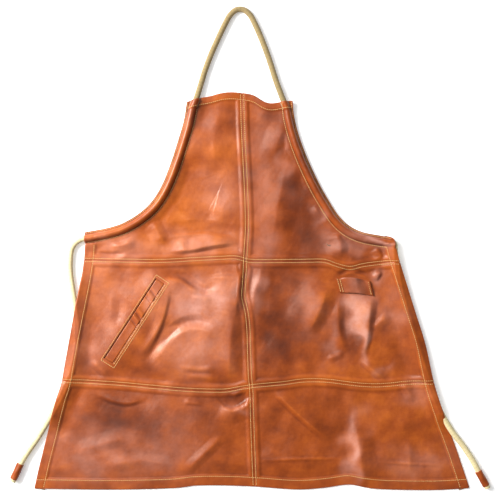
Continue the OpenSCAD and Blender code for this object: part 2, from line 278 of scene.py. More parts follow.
left_edge, right_edge = smooth_line(ARMHOLE_LEFT), smooth_line(ARMHOLE_RIGHT)
casing_ropes = {}
for side, edge, hand, top_end, mouth_end in (
    ("left", left_edge, -1, NECK_ROUTE[0], TIE_LEFT_ROUTE[0]),
    ("right", right_edge, 1, NECK_ROUTE[-1], TIE_RIGHT_ROUTE[0]),
):
    middle = beside(edge, hand * CASING_MIDDLE)[14:-10:12]
    route = [top_end[:2], *middle.tolist(), mouth_end[:2]]
    casing_ropes[side] = [(x, y, CASING_HEIGHT) for x, y in route]
    rope, _ = braided_rope("casing_rope_" + side, casing_ropes[side], 0.5)
    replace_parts(rope, f"rope_in_{side}_casing")
    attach(rope, "apron")

# ---------------------------------------------------------------- leather
# Six panels of waxed pull-up cowhide, 1.6 mm thick. They lie on the table and over the ropes,
# with soft folds where the seams draw them in. Their edges are turned under and sewn.
# THICK is one sheet and LAYER the height that a turned edge adds.
THICK, LAYER = 1.6, 1.65
# Rows of stitches, from a seam, from the side and bottom edges, and from the top edge.
ROW, HEM_ROW, TOP_ROW = 3.2, 18.5, 13.5
# How far the round of a folded edge stands out from the sheet, at a hem and at a seam, and how
# wide the turned edge is at a seam, at the side and bottom hems and at the top hem.
HEM, SEAM = 1.6, 0.4
SEAM_WIDTH, HEM_WIDTH, TOP_WIDTH = 10, 20, 14
# Height up the apron at which the side hems end and the casings begin.
MOUTH_Y = 96
WAIST_SEAM = [
    (-340, 63), (-190, 60.5), (-110, 64.5), (-30, 67.5), (-4, 61), (72, 60.5), (148, 60.5),
    (174, 50.5), (194, 46.5), (226, 53), (276, 58.5), (298, 57),
]
SKIRT_SEAM = [
    (-384, -177), (-280, -183.5), (-188, -191.5), (-112, -197.5), (-42, -197.5), (-10, -190),
    (58, -183.5), (108, -177.5), (158, -179), (208, -185.5), (258, -187.5), (308, -182.5), (368, -180.5),
]
BOTTOM = [
    (-440, -394.5), (-280, -396.3), (-158, -393.5), (-104, -388), (-10, -389.5), (86, -396),
    (142, -393), (194, -386.5), (242, -394.5), (308, -397), (374, -397), (440, -393),
]
TOP = [
    (-130, 378), (-106, 385), (-82, 390), (-62, 395.5), (-44, 397.5), (-24, 396.5), (-4, 393.5),
    (8, 388.5), (20, 380.5), (34, 375.5), (48, 376), (64, 379), (81, 380),
]
CENTRE_SEAM = [
    (-20, 399), (-19.6, 382), (-18, 322), (-16, 284), (-11.4, 192), (-10, 124), (-14, 58),
    (-12.6, 42), (-15.4, 20), (-17.4, -7), (-12.6, -30), (-9.4, -50), (-7.2, -70), (-4, -168),
    (-1.4, -194), (2, -298), (6, -399),
]
SIDE_LEFT = [
    (-333, 97), (-336, 62), (-342, 22), (-354, -42), (-372, -138), (-380, -184), (-391, -218),
    (-408, -282), (-424, -345), (-436.5, -400),
]
SIDE_RIGHT = [
    (286, 90), (294, 60), (306, 22), (326, -42), (346, -106), (363, -184), (384, -250),
    (408, -314), (437, -400),
]


def y_of(points):
    """Height of a line that runs across, as a function of x."""
    line = smooth_line(points)
    return lambda x: np.interp(x, line[:, 0], line[:, 1])


def x_of(points):
    """Distance across of a line that runs down, as a function of y."""
    line = smooth_line(points)[::-1]
    return lambda y: np.interp(y, line[:, 1], line[:, 0])


waist_y, skirt_y, bottom_y, top_y = map(y_of, (WAIST_SEAM, SKIRT_SEAM, BOTTOM, TOP))
centre_x, left_x, right_x = map(x_of, (CENTRE_SEAM, SIDE_LEFT, SIDE_RIGHT))


def step_up(t):
    """Smooth step from 0 to 1 as t goes from 0 to 1."""
    t = np.clip(t, 0, 1)
    return t * t * (3 - 2 * t)


def from_line(x, y, line):
    """Distance of points from a plan line, signed (positive on the line's left), and how far along
    the line the nearest place is, from 0 to 1."""
    best, signed, share = np.full(x.shape, 1e9), np.zeros(x.shape), np.zeros(x.shape)
    lengths = np.linalg.norm(np.diff(line, axis=0), axis=1)
    ends = np.concatenate([[0], np.cumsum(lengths)])
    for (ax, ay), (bx, by), length, start in zip(line[:-1], line[1:], lengths, ends):
        dx, dy = (bx - ax) / length, (by - ay) / length
        t = np.clip((x - ax) * dx + (y - ay) * dy, 0, length)
        away = np.hypot(x - ax - t * dx, y - ay - t * dy)
        near = away < best
        side = np.where(dx * (y - ay) - dy * (x - ax) >= 0, 1.0, -1.0)
        best = np.where(near, away, best)
        signed = np.where(near, side * away, signed)
        share = np.where(near, (start + t) / ends[-1], share)
    return signed, share


def waves(x, y, length, count, seed):
    """Sum of count sine waves of about that length, in seeded directions, from about -1 to 1."""
    r = np.random.default_rng(seed)
    turn, phase = r.uniform(0, np.pi, count), r.uniform(0, 2 * np.pi, count)
    k = 2 * np.pi / (length * r.uniform(0.7, 1.4, count))
    total = sum(np.sin(k[i] * (np.cos(turn[i]) * x + np.sin(turn[i]) * y) + phase[i]) for i in range(count))
    return total / np.sqrt(count)


# Folds: height, width on the left and on the right of the line's direction, share of both that is
# left at the line's end, and the line.
FOLDS = [
    (8.0, 13, 80, 1.0, [(-36, 66), (-28, 32), (-30, 0), (-33, -37), (-38, -62)]),
    (8.0, 30, 90, 1.0, [(-33, -26), (-38, -54), (-44, -102), (-47, -150), (-48, -190)]),
    (5.5, 30, 16, 0.7, [(20, 66), (16, 26), (4, -8), (4, -70)]),
    (9.0, 16, 50, 0.3, [(238, 4), (233, -50), (228, -100), (218, -140)]),
    (10.0, 28, 84, 0.6, [(152, 16), (132, -42), (106, -92)]),
    (4.5, 14, 24, 0.7, [(174, -2), (171, -60), (184, -128)]),
    (3.5, 26, 7, 1.0, [(214, -132), (240, -156), (270, -180)]),
    (2.5, 8, 14, 1.0, [(240, -76), (272, -46)]),
    (1.8, 6, 8, 1.0, [(148, -136), (184, -122)]),
    (-4.5, 11, 14, 1.0, [(-190, -114), (-148, -68), (-104, -58), (-70, -74)]),
    (2.1, 12, 38, 1.0, [(-176, -104), (-140, -84), (-100, -78), (-64, -96)]),
    (-3.5, 9, 8, 1.0, [(-184, 35), (-143, 32), (-116, 14), (-92, 2), (-62, 20)]),
    (3.0, 7, 22, 1.0, [(-180, 24), (-140, 17), (-116, 2), (-86, -12)]),
    (2.4, 5, 14, 1.0, [(-124, -10), (-78, -17)]),
    (-5.0, 16, 14, 1.0, [(-158, -46), (-176, -84), (-200, -120), (-224, -146)]),
    (2.4, 8, 8, 1.0, [(-136, -166), (-96, -172), (-62, -176)]),
    (2.2, 7, 7, 1.0, [(-150, -150), (-104, -156), (-70, -152)]),
    (3.0, 9, 9, 1.0, [(-322, -136), (-300, -156), (-286, -172)]),
    (-2.5, 14, 14, 1.0, [(-268, 6), (-266, -40), (-276, -76)]),
    (-5.0, 18, 10, 1.0, [(-180, 118), (-92, 125), (-18, 106)]),
    (6.0, 22, 7, 1.0, [(-172, 79), (-124, 83), (-80, 92), (-22, 100)]),
    (-5.0, 66, 30, 1.2, [(-146, 240), (-136, 200), (-94, 156), (-56, 146)]),
    (2.2, 4, 4, 1.0, [(-152, 222), (-132, 212)]),
    (1.8, 3, 3, 1.0, [(-156, 212), (-140, 206)]),
    (4.0, 14, 22, 1.0, [(-200, 144), (-184, 110), (-172, 92)]),
    (-3.0, 7, 7, 1.0, [(-316, 73), (-284, 72), (-250, 74)]),
    (3.0, 8, 12, 1.0, [(-286, 88), (-258, 92), (-230, 104)]),
    (2.4, 12, 20, 1.0, [(-142, 108), (-134, 72)]),
    (6.0, 46, 60, 0.8, [(80, 290), (64, 230), (50, 160), (34, 84)]),
    (4.0, 16, 30, 1.0, [(66, 340), (52, 300), (40, 262)]),
    (3.0, 7, 12, 1.0, [(120, 172), (134, 154), (150, 140)]),
    (6.0, 16, 36, 0.8, [(164, 128), (176, 90), (174, 64)]),
    (3.5, 10, 14, 1.0, [(244, 92), (262, 62)]),
    (3.0, 11, 9, 1.0, [(236, 24), (262, 44)]),
    (2.6, 5, 4, 1.0, [(286, -26), (324, -14)]),
    (2.6, 5, 4, 1.0, [(290, -40), (328, -36)]),
    (2.4, 5, 4, 1.0, [(294, -52), (332, -54)]),
    (2.2, 5, 4, 1.0, [(280, -12), (314, -2)]),
    (3.5, 24, 6, 1.0, [(-312, -200), (-292, -212), (-250, -222), (-206, -210)]),
    (1.8, 8, 4, 1.0, [(-140, -220), (-96, -224)]),
    (-6.0, 16, 12, 1.0, [(-72, -196), (-36, -226), (0, -200)]),
    (4.0, 8, 26, 1.0, [(-66, -232), (-38, -238), (2, -214)]),
    (3.0, 12, 12, 1.0, [(-140, -366), (-94, -322), (-52, -282)]),
    (2.6, 22, 14, 1.0, [(-352, -322), (-284, -300), (-230, -292)]),
    (2.4, 16, 16, 1.0, [(-300, -350), (-220, -338), (-150, -352)]),
    (4.5, 44, 8, 1.0, [(38, -192), (96, -248), (160, -302)]),
    (5.5, 32, 26, 1.0, [(206, -254), (216, -328), (226, -398)]),
    (2.8, 14, 11, 1.0, [(298, -178), (324, -222)]),
    (1.0, 3, 3, 1.0, [(10, -338), (100, -334), (194, -333)]),
    (1.0, 3, 3, 1.0, [(242, -340), (396, -348)]),
    (2.6, 18, 18, 1.0, [(312, -290), (316, -372)]),
    (3.0, 34, 30, 1.0, [(-60, 372), (-76, 300), (-70, 236)]),
    (2.6, 5, 14, 1.0, [(-164, 14), (-172, -30), (-185, -72), (-213, -128)]),
    (-3.0, 5, 5, 1.0, [(166, 33), (184, 40), (198, 42), (214, 39), (240, 30)]),
    (3.0, 9, 5, 1.0, [(246, 20), (256, 40)]),
]
POCKET_AT = np.array([-233.0, -60.0])
TILT = np.radians(33)
POCKET_U = np.array([np.cos(TILT), -np.sin(TILT)])
POCKET_V = np.array([np.sin(TILT), np.cos(TILT)])


def to_pocket(x, y):
    """Distances across and along the slanted pocket from its middle."""
    place = np.stack([x, y], axis=-1) - POCKET_AT
    return place @ POCKET_U, place @ POCKET_V


BAG_MIDDLE, BAG_REACH = (-178, -66), (104, 92)
HIDDEN_TIES = [
    np.array(TIE_LEFT_ROUTE)[7:14, :2],
    np.array(TIE_RIGHT_ROUTE)[2:12, :2],
]


def softer_max(a, b, width=3.0):
    """The larger of two heights, rounded where they meet."""
    h = np.clip(0.5 + (a - b) / (2 * width), 0, 1)
    return b + (a - b) * h + width * h * (1 - h)


def turned_band(x, y):
    """1 over the turned edges that lie under the panels, falling softly to 0 beside them."""
    def band(distance, width, soft=3):
        """1 up to the width, falling to 0 within soft beyond it."""
        return step_up((width + soft - distance) / soft)

    from_side = np.minimum(x - left_x(y), right_x(y) - x)
    sides = band(from_side, HEM_WIDTH) * (y < MOUTH_Y)
    from_seam = np.minimum(np.abs(y - waist_y(x)), np.abs(y - skirt_y(x)))
    seams = band(np.minimum(from_seam, np.abs(x - centre_x(y))), SEAM_WIDTH - 2, soft=7)
    hems = np.maximum(band(y - bottom_y(x), HEM_WIDTH), band(top_y(x) - y, TOP_WIDTH))
    return np.maximum(np.maximum(sides, seams), hems)


# Over a casing: how high the flange is, how far it stays flat and how wide its slope is, and how
# high and half as wide the ridge over the rope is.
FLANGE, RIDGE = (4.2, 12, 22), (9.6, 7.6)


def casing_relief(x, y):
    """Height over the ropes in the casings: a half-round ridge over the rope, a flat flange each
    side where the facing is sewn on, and a slope down to the table on the inner side."""
    total = np.zeros(x.shape)
    for side, neck, tie in (
        ("left", NECK_ROUTE, TIE_LEFT_ROUTE), ("right", NECK_ROUTE[::-1], TIE_RIGHT_ROUTE),
    ):
        route = [neck[1], *casing_ropes[side], tie[1], tie[2]]
        line = smooth_line([place[:2] for place in route], 6.0)
        away = np.abs(from_line(x, y, line)[0])
        flange = FLANGE[0] * (1 - step_up((away - FLANGE[1]) / FLANGE[2]))
        ridge = RIDGE[0] * np.sqrt(np.clip(1 - (away / RIDGE[1]) ** 2, 0, 1))
        total = np.maximum(total, flange + ridge)
    return total


# The tent over a tie: height, half the width of its flat top, and width of each slope.
TENT = (12.6, 4, 46)


def tie_relief(x, y):
    """Height over the hidden stretches of the ties: a tent that falls to the table on both sides."""
    total = np.zeros(x.shape)
    for route in HIDDEN_TIES:
        away = from_line(x, y, smooth_line(route, 8.0))[0]
        slope = np.clip(1 - np.maximum(np.abs(away) - TENT[1], 0) / TENT[2], 0, 1)
        total = np.maximum(total, TENT[0] * slope**1.7)
    return total


def fold_relief(x, y):
    """Sum of the folds. Each is a tent, height * (1 - distance / width), rounded at its ridge and
    its foot, and fades over the first and last third of its line."""
    total = np.zeros(x.shape)
    for height, on_left, on_right, taper, line in FOLDS:
        reach = max(on_left, on_right) * max(taper, 1)
        low, high = np.min(line, axis=0) - reach, np.max(line, axis=0) + reach
        near = (x > low[0]) & (x < high[0]) & (y > low[1]) & (y < high[1])
        if not near.any():
            continue
        away, share = from_line(x[near], y[near], smooth_line(line, 12.0))
        size = 1 + (taper - 1) * share
        width = np.where(away > 0, on_left, on_right) * size
        down = np.maximum(1 - (np.hypot(away, 2.5) - 2.5) / width, 0)
        tent = 1.3 * down**2 / (down + 0.3)
        fade = step_up(share / 0.34) * step_up((1 - share) / 0.34)
        total[near] += height * size * fade * tent
    return total


AT_EDGE, LOOSE_RISE = 0.5, 2.6


def lie(x, y):
    """Height of the leather's upper side: flat at the edges and up to LOOSE_RISE off the table
    inside them, with slow waves, a low rise over the pocket bag and along the slit, and the folds;
    never below the casings and the ties; plus fine waves and the turned edges below, less a
    shallow groove along each seam and each row of stitches."""
    from_side = np.minimum(x - left_x(y), right_x(y) - x)
    from_edge = np.minimum(from_side, y - bottom_y(x))
    loose = step_up(np.minimum(from_edge, np.where(y > MOUTH_Y, 70, 200)) / 60)
    z = AT_EDGE + LOOSE_RISE * loose
    z = z + loose * (1.9 * waves(x, y, 150, 7, 3) + 0.55 * waves(x, y, 52, 9, 5))
    bag = np.hypot((x - BAG_MIDDLE[0]) / BAG_REACH[0], (y - BAG_MIDDLE[1]) / BAG_REACH[1])
    z = z + 2.4 * step_up((1.25 - bag) / 0.4)
    u, v = to_pocket(x, y)
    z = z + 1.6 * step_up((44 - np.abs(u)) / 34) * step_up((122 - np.abs(v)) / 30)
    z = z + fold_relief(x, y)
    z = softer_max(z, np.zeros(x.shape), 1.2)
    z = softer_max(z, casing_relief(x, y), 1.0)
    z = softer_max(z, tie_relief(x, y), 2.0)
    z = z + 0.045 * waves(x, y, 13, 12, 7)
    z = z + LAYER * turned_band(x, y)
    from_seam = np.minimum(np.abs(y - waist_y(x)), np.abs(y - skirt_y(x)))
    from_seam = np.minimum(from_seam, np.abs(x - centre_x(y)))
    rows = np.minimum(np.abs(from_seam - ROW), np.abs(from_side - HEM_ROW))
    rows = np.minimum(rows, np.abs(y - bottom_y(x) - HEM_ROW))
    rows = np.minimum(rows, np.abs(top_y(x) - y - TOP_ROW))
    stitch_groove = 0.5 * np.exp(-((rows / 1.7) ** 2))
    seam_groove = 0.25 * np.exp(-((from_seam / 1.2) ** 2))
    return z + 0.35 + THICK - stitch_groove - seam_groove


# Patches of colour in the hide: place, reach across and up, and how much paler (above 0) or
# darker (below 0) than the rest. Some are the hide's own tone and stains. Others are painted shade
# and painted highlight: the dark band left of the centre seam, the dark recess above the towel
# loop, and the pale wedge under the loop with the dark bands beside it.
TONE_AND_PAINTED_LIGHT_PATCHES = [
    (-36, 332, 24, 40, -0.6), (-70, 285, 45, 38, 0.45), (-80, 350, 40, 24, -0.2),
    (-150, 160, 42, 36, 0.75), (-62, 190, 60, 70, 0.5), (-100, 92, 90, 26, 0.7),
    (-250, 92, 80, 28, 0.35), (15, 270, 34, 110, -0.55), (90, 165, 44, 95, -1.2),
    (170, 110, 60, 40, -0.6), (250, 80, 40, 24, -0.2), (60, 330, 30, 30, -0.4), (-290, 0, 70, 90, 0.35),
    (-110, -20, 75, 62, 0.5), (-130, -125, 75, 45, 0.55), (-212, -150, 38, 26, -0.6),
    (-32, -110, 17, 85, -0.6), (-24, 12, 9, 50, -0.45), (55, -60, 52, 110, -1.25),
    (120, 36, 50, 22, 0.1), (170, -80, 30, 60, -0.5), (150, -166, 90, 16, 0.35),
    (270, -100, 40, 50, 0.1), (300, 20, 30, 30, 0.1), (-276, -250, 40, 38, -1.3),
    (-215, -262, 46, 22, -0.5), (-330, -330, 80, 70, -0.3), (-60, -290, 42, 66, -0.1),
    (-40, -205, 36, 14, -0.7), (-160, -290, 90, 80, -0.55), (211, -28, 24, 28, 1.0),
    (217, -72, 14, 36, 1.1), (186, -44, 8, 34, -0.7), (201, -96, 8, 30, -0.7), (200, 40, 26, 4, -0.7),
    (246, -30, 7, 30, -0.6), (204, -320, 14, 50, 0.4), (60, -290, 70, 80, -0.35),
    (140, -250, 60, 50, -0.1), (300, -245, 62, 44, 0.45), (230, -330, 30, 60, -0.35),
    (340, -345, 70, 30, -0.1), (60, -215, 60, 22, 0.2),
]
# Patches of painted sheen, paler, pinker and duller, standing in for the soft reflections of the waxed
# hide: place, reach and strength.
PAINTED_SHEEN_PATCHES = [
    (-62, 190, 48, 56, 0.35), (-95, 92, 75, 22, 0.5), (-250, 88, 80, 22, 0.4), (-90, 330, 34, 40, 0.25),
    (15, 260, 20, 100, 0.25), (48, 315, 18, 24, 0.3), (62, 240, 12, 40, 0.35), (30, 110, 18, 50, 0.35),
    (131, 148, 9, 20, 0.6), (168, 98, 34, 20, 0.5), (240, 92, 40, 12, 0.35), (262, 99, 32, 6, 0.8),
    (215, 112, 24, 8, 0.4), (-290, 0, 60, 80, 0.3), (-105, -25, 62, 50, 1.0), (-118, -122, 66, 38, 0.6),
    (-320, -120, 40, 50, 0.35), (10, 8, 11, 46, 0.55), (112, -35, 26, 46, 0.4), (209, -22, 24, 26, 1.4),
    (216, -60, 16, 28, 1.5), (222, -104, 9, 30, 1.3), (252, 30, 11, 12, 0.7), (-203, -22, 12, 36, 0.5),
    (160, -90, 15, 40, 0.3), (256, -160, 16, 13, 0.5), (278, -45, 28, 32, 0.35),
    (-330, -320, 75, 60, 0.4), (-160, -260, 60, 60, 0.2), (-200, -330, 80, 40, 0.3),
    (-30, -236, 30, 14, 0.4), (202, -320, 13, 52, 0.9), (205, -250, 20, 26, 0.35),
    (330, -342, 80, 30, 0.3), (330, -205, 30, 20, 0.3),
]


def patches(x, y, places):
    """Sum of bell-shaped patches, each amount * exp(-(dx / reach)^2 - (dy / reach)^2), whose
    outlines are pulled about by slow waves."""
    x = x + 9 * waves(x, y, 60, 6, 31)
    y = y + 9 * waves(x, y, 60, 6, 32)
    total = np.zeros(x.shape)
    for px, py, rx, ry, amount in places:
        total += amount * np.exp(-(((x - px) / rx) ** 2) - ((y - py) / ry) ** 2)
    return total


def tone_and_painted_light(x, y):
    """How pale the leather is, from about -1 to 1: slow clouds and the patches, which hold painted
    shade and painted highlights as well as the hide's own tone.
    """
    tone = 0.16 * waves(x, y, 140, 9, 11) + 0.1 * waves(x, y, 46, 9, 12)
    return tone + patches(x, y, TONE_AND_PAINTED_LIGHT_PATCHES)


def coons(bottom, top, left, right, across, up, lean=(1.0, 1.0)):
    """Coons patch: the grid whose four sides are the given plan lines. Each is resampled at shares
    of its length: t, or t**lean on the left and on the right side."""
    def even(line, n, power=1.0):
        """The line resampled to n points."""
        along = np.concatenate([[0], np.cumsum(np.linalg.norm(np.diff(line, axis=0), axis=1))])
        at = np.linspace(0, 1, n) ** power * along[-1]
        return np.stack([np.interp(at, along, line[:, k]) for k in (0, 1)], axis=1)

    b, t = even(bottom, across)[None], even(top, across)[None]
    l, r = even(left, up, lean[0])[:, None], even(right, up, lean[1])[:, None]
    u, v = np.linspace(0, 1, across)[None, :, None], np.linspace(0, 1, up)[:, None, None]
    low_corners = (1 - u) * (1 - v) * b[:, :1] + u * (1 - v) * b[:, -1:]
    high_corners = (1 - u) * v * t[:, :1] + u * v * t[:, -1:]
    return (1 - v) * b + v * t + (1 - u) * l + u * r - low_corners - high_corners


def leather_sheet(name, plan, turned, height=lie, finish=None):
    """Sheet over a plan grid at the given height. turned lists the edges that are folded under:
    (side, first share, last share, how far the fold stands out, width of the turned edge). A fold
    is half an ellipse, 2 * LAYER high, and the turned edge lies under the sheet. Seam allowances
    end at the side edges. Points that stand above those round them are paler, as the waxed hide
    pales where it is stretched; points that lie below them are darker, which is painted shade."""
    up, across = plan.shape[:2]
    x, y = plan[..., 0].ravel(), plan[..., 1].ravel()
    blocks, faces = [np.stack([x, y, height(x, y)], axis=1)], [grid_faces(up, across)]
    index = np.arange(up * across).reshape(up, across)
    for side, first, last, out, width in turned:
        rim = {"left": index[:, 0], "right": index[:, -1], "bottom": index[0], "top": index[-1]}[side]
        rim = rim[int(first * (len(rim) - 1)):int(last * (len(rim) - 1)) + 1]
        edge = blocks[0][rim]
        h = headings(edge[:, :2])
        away = np.stack([h[:, 1], -h[:, 0]], axis=1) * (1 if side in ("right", "bottom") else -1)
        round_fold = np.radians([30, 60, 90, 120, 150, 180])
        reach = np.concatenate([out * np.sin(round_fold), -np.linspace(0, 1, 8)[1:] * width])
        drop = np.concatenate([LAYER * (1 - np.cos(round_fold)), np.full(7, 2 * LAYER)])
        px = edge[None, :, 0] + reach[:, None] * away[None, :, 0]
        py = edge[None, :, 1] + reach[:, None] * away[None, :, 1]
        if side in ("bottom", "top"):
            px = np.clip(px, left_x(py) + HEM, right_x(py) - HEM)
        on_top = np.where(reach[:, None] < 0, height(px, py), edge[None, :, 2])
        start = sum(map(len, blocks))
        blocks.append(np.stack([px, py, on_top - drop[:, None]], axis=-1).reshape(-1, 3))
        strip = np.vstack([rim, start + np.arange(px.size).reshape(px.shape)])
        a, b, c, d = strip[:-1, :-1], strip[:-1, 1:], strip[1:, 1:], strip[1:, :-1]
        corners = {"left": (d, a, b, c), "right": (a, d, c, b), "bottom": (d, c, b, a), "top": (a, b, c, d)}
        faces.append(np.stack(corners[side], axis=-1).reshape(-1, 4))
    points = np.vstack(blocks)
    # Paler on ridges, where the waxed hide is stretched, and darker in hollows, which is painted shade.
    z = np.pad(blocks[0][:, 2].reshape(up, across), 2, mode="edge")
    around = (z[:-4, 2:-2] + z[4:, 2:-2] + z[2:-2, :-4] + z[2:-2, 4:]) / 4
    ridge_pale_hollow_shade = np.zeros(len(points))
    ridge_pale_hollow_shade[:up * across] = np.clip(z[2:-2, 2:-2] - around, -0.6, 0.6).ravel()
    piece = new_piece(
        name, points, np.vstack(faces), tone=tone_and_painted_light(points[:, 0], points[:, 1]) + 0.8 * ridge_pale_hollow_shade,
        bloom=np.clip(patches(points[:, 0], points[:, 1], PAINTED_SHEEN_PATCHES), 0, 1))
    for one in finish or (cognac, suede, cut_edge):
        piece.data.materials.append(one)
    return piece


def thicken(piece, thickness=THICK):
    """Solidify inwards from the finished side, with the flesh side and the cut rim in their own finish."""
    solid = piece.modifiers.new("thickness", "SOLIDIFY")
    solid.thickness, solid.offset = thickness * MM, -1
    solid.material_offset, solid.material_offset_rim = 1, 2
    return piece


# Waxed cognac: darker and paler clouds, fine streaks, a pink painted sheen, pebbled grain.
cognac, tree, shader = material(
    "cognac pull-up leather", 0.40, Specular_IOR_Level=0.36, Specular_Tint=(1.0, 0.78, 0.62, 1),
    Coat_Weight=0.22, Coat_Roughness=0.25)
# The tone attribute holds the hide's own tone together with painted shade and painted highlights.
tone = math_node(tree, "MULTIPLY_ADD", attribute(tree, "tone"), 0.22)
tone.node.inputs[2].default_value = 0.5
clouds = math_node(tree, "MULTIPLY_ADD", noise(tree, 22, 6, 0.62, (1, 1.6, 1)), 0.5)
tree.links.new(tone, clouds.node.inputs[2])
level = math_node(tree, "SUBTRACT", clouds, 0.25)
colour = ramp(tree, level, [
    (0.10, (0.09, 0.020, 0.010)), (0.32, (0.20, 0.036, 0.007)), (0.5, (0.34, 0.066, 0.009)),
    (0.68, (0.50, 0.114, 0.013)), (0.95, (0.68, 0.20, 0.035))])
streaks = ramp(tree, noise(tree, 60, 8, 0.7, (1, 0.35, 1)), [(0.35, (0.80, 0.72, 0.68)), (0.6, (1, 1, 1))])
colour = mixed(tree, "MULTIPLY", 0.7, colour, streaks)
# Painted sheen: where the sheen patches lie, the colour is mixed towards a pale pink, broken up by noise.
sheen_mask = math_node(tree, "MULTIPLY", attribute(tree, "bloom"), ramp(
    tree, noise(tree, 34, 6, 0.65), [(0.28, (0.35, 0.35, 0.35)), (0.62, (1, 1, 1))]))
colour = mixed(tree, "MIX", math_node(tree, "MULTIPLY", sheen_mask, 0.8), colour, (0.60, 0.285, 0.22, 1))
tree.links.new(colour, shader.inputs["Base Color"])
grain = node(tree, "ShaderNodeTexVoronoi", Scale=900.0)
tree.links.new(node(tree, "ShaderNodeTexCoord").outputs["Object"], grain.inputs["Vector"])
creases = math_node(tree, "MULTIPLY_ADD", noise(tree, 130, 7, 0.65), 4.0)
tree.links.new(grain.outputs["Distance"], creases.node.inputs[2])
bumped(tree, shader, creases, 0.00008)

suede, tree, shader = material("flesh side of the leather", 0.95, Sheen_Weight=0.3)
colour = ramp(tree, noise(tree, 40, 8, 0.7), [(0.3, (0.23, 0.115, 0.055)), (0.7, (0.42, 0.24, 0.13))])
tree.links.new(colour, shader.inputs["Base Color"])
bumped(tree, shader, noise(tree, 900, 4), 0.0004)

cut_edge, tree, shader = material("burnished cut edge", 0.55)
colour = ramp(tree, noise(tree, 200, 4), [(0.3, (0.10, 0.035, 0.015)), (0.7, (0.22, 0.08, 0.035))])
tree.links.new(colour, shader.inputs["Base Color"])

# Spacing of the grid of points on the waist and skirt panels.
STEP = 1.9


def across_line(y_at, x0, x1, shift):
    """Plan line along a seam or hem between two distances across, moved up by shift."""
    x = np.linspace(x0, x1, 200)
    return np.stack([x, y_at(x) + shift], axis=1)


def down_line(x_at, y0, y1, shift):
    """Plan line along a side edge or the centre seam between two heights, moved right by shift."""
    y = np.linspace(y0, y1, 200)
    return np.stack([x_at(y) + shift, y], axis=1)


def flat_panel(name, x_at, y_low, y_high, hand, foot):
    """Waist or skirt panel: hand is -1 on the left of the centre seam, foot the fold at its lower edge."""
    near_centre, near_foot, near_head = -5.0, hand * 380.0, hand * 330.0
    centre_low, centre_high = centre_x(y_low(near_centre)), centre_x(y_high(near_centre))
    side_low, side_high = x_at(y_low(near_foot)), x_at(y_high(near_head))
    y0c, y1c = y_low(centre_low) + foot[0], y_high(centre_high) - SEAM
    y0s, y1s = y_low(side_low) + foot[0], y_high(side_high) - SEAM
    side = down_line(x_at, y0s, y1s, -hand * HEM)
    centre = down_line(centre_x, y0c, y1c, hand * SEAM)
    left, right = (side, centre) if hand < 0 else (centre, side)
    bottom = across_line(y_low, left[0, 0], right[0, 0], foot[0])
    top = across_line(y_high, left[-1, 0], right[-1, 0], -SEAM)
    left[0, 1], right[0, 1], left[-1, 1], right[-1, 1] = bottom[0, 1], bottom[-1, 1], top[0, 1], top[-1, 1]
    plan = coons(bottom, top, left, right, int((right[0, 0] - left[0, 0]) / STEP), int((y1c - y0c) / STEP))
    outer, inner = ("left", "right") if hand < 0 else ("right", "left")
    return leather_sheet(name, plan, [
        (outer, 0, 1, HEM, HEM_WIDTH), (inner, 0, 1, SEAM, SEAM_WIDTH), ("bottom", 0, 1, *foot),
        ("top", 0, 1, SEAM, SEAM_WIDTH)])


panels = {}
for level, y_low, y_high, foot in (
    ("waist", skirt_y, waist_y, (SEAM, SEAM_WIDTH)), ("skirt", bottom_y, skirt_y, (HEM, HEM_WIDTH)),
):
    for side, x_at, hand in (("left", left_x, -1), ("right", right_x, 1)):
        panels[f"{level}_panel_{side}"] = flat_panel(
            f"{level}_leather_{side}", x_at, y_low, y_high, hand, foot)

RIGHT_CORNER = [(264, 110), (273, 109.5), (281, 106), (285.5, 99), (285.5, 90)]


def bib_panel(side, hand, x_at, near_waist, hem_top, corner, edge, across, below_armhole):
    """Bib half: hand is -1 on the left of the centre seam. Its side runs up from the waist seam to
    hem_top, turns at the casing's mouth along the corner and follows the armhole. The grid's rows
    are spread unevenly up the centre seam, so that they don't run side by side at the armhole."""
    low = waist_y(x_at(near_waist) - hand * HEM) + SEAM
    outer = np.vstack([down_line(x_at, low, hem_top, -hand * HEM), corner, edge[::-1]])
    low, high = waist_y(centre_x(64.0)) + SEAM, top_y(centre_x(396.0)) - HEM
    inner = down_line(centre_x, low, high, hand * SEAM)
    left, right = (outer, inner) if hand < 0 else (inner, outer)
    top = across_line(top_y, left[-1, 0], right[-1, 0], -HEM)
    left[-1], right[-1] = top[0], top[-1]
    bottom = across_line(waist_y, left[0, 0], right[0, 0], SEAM)
    left[0], right[0] = bottom[0], bottom[-1]
    plan = coons(bottom, top, left, right, across, 225, (1.0, 1.5) if hand < 0 else (1.5, 1.0))
    other = "right" if hand < 0 else "left"
    return leather_sheet("bib_leather_" + side, plan, [
        (side, 0, below_armhole, HEM, HEM_WIDTH), (other, 0, 1, SEAM, SEAM_WIDTH),
        ("bottom", 0, 1, SEAM, SEAM_WIDTH), ("top", 0, 1, HEM, TOP_WIDTH)])


panels["bib_panel_left"] = bib_panel(
    "left", -1, left_x, 63.0, 95.0, [(-334, 96)], left_edge, 160, 31 / 426)
panels["bib_panel_right"] = bib_panel(
    "right", 1, right_x, 58.0, 86.0, smooth_line(RIGHT_CORNER)[:0:-1], right_edge, 155, 27 / 400)

# ---------------------------------------------------------------- pocket
# A slanted welt pocket: a window cut in the left waist panel, a welt strip behind it whose
# folded edge leaves a slit, and a flat suede bag sewn on under the panel.
# The window's left, right, lower and upper sides, across and along the pocket.
WINDOW = (-12.6, 8.2, -95.0, 95.0)


def in_pocket(u, v):
    """Plan points at distances u across and v along the pocket, from its middle."""
    return POCKET_AT + u[..., None] * POCKET_U + v[..., None] * POCKET_V


